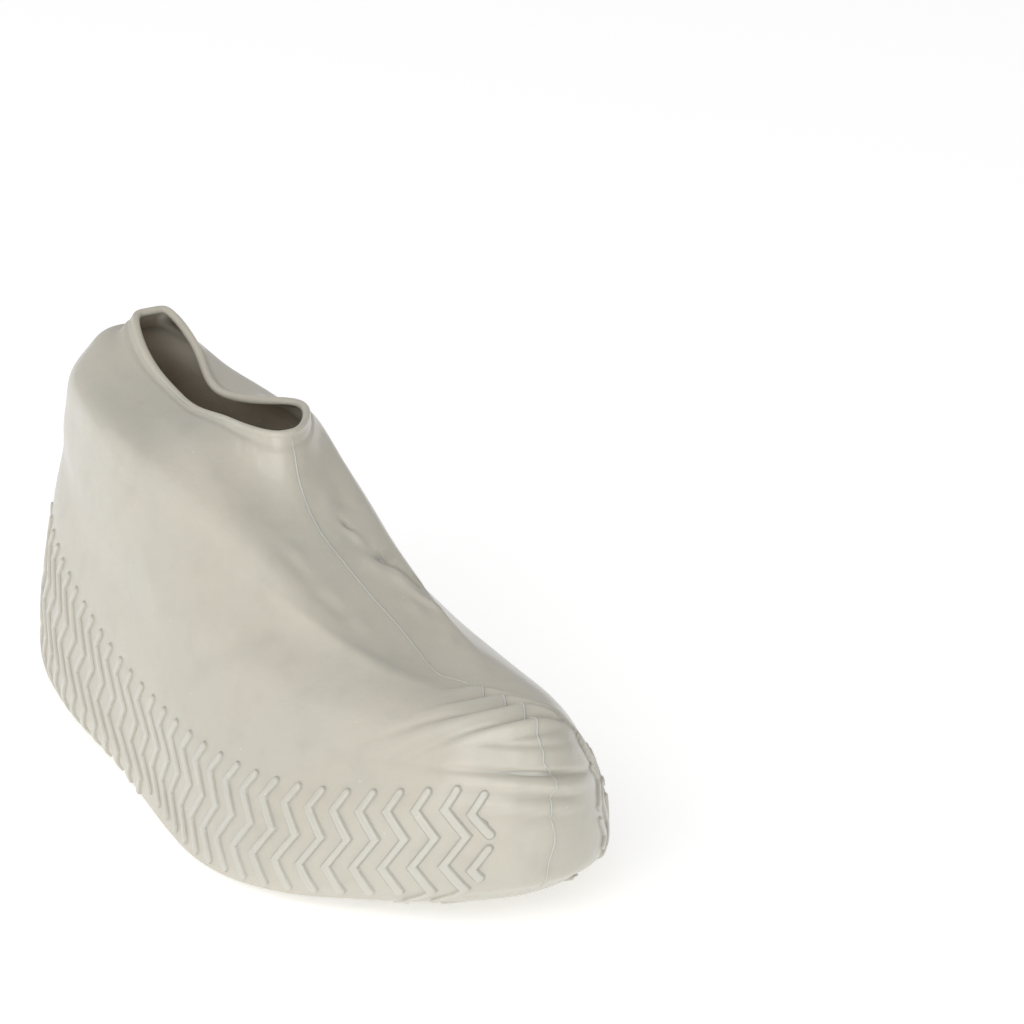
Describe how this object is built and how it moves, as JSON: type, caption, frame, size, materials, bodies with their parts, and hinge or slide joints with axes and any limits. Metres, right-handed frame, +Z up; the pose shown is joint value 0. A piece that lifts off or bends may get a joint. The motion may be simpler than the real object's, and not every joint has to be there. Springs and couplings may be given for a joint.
{
  "type": "pull-on rain overshoe",
  "caption": "One-piece moulded silicone overshoe: hollow cover with ribbed sides, zigzag tread, creased toe and a narrow mouth with a rounded rim.",
  "frame": {"origin": "under the middle of the overshoe's box, at the tread's lowest point", "axes": "+X from heel to toe, +Y to the wearer's left, +Z up"},
  "size_m": [0.2766, 0.1136, 0.1227],
  "materials": {
    "silicone": "satin translucent silicone, warm grey, softly mottled"
  },
  "bodies": {
    "root": {"overshoe": "silicone"}
  },
  "joints": []
}
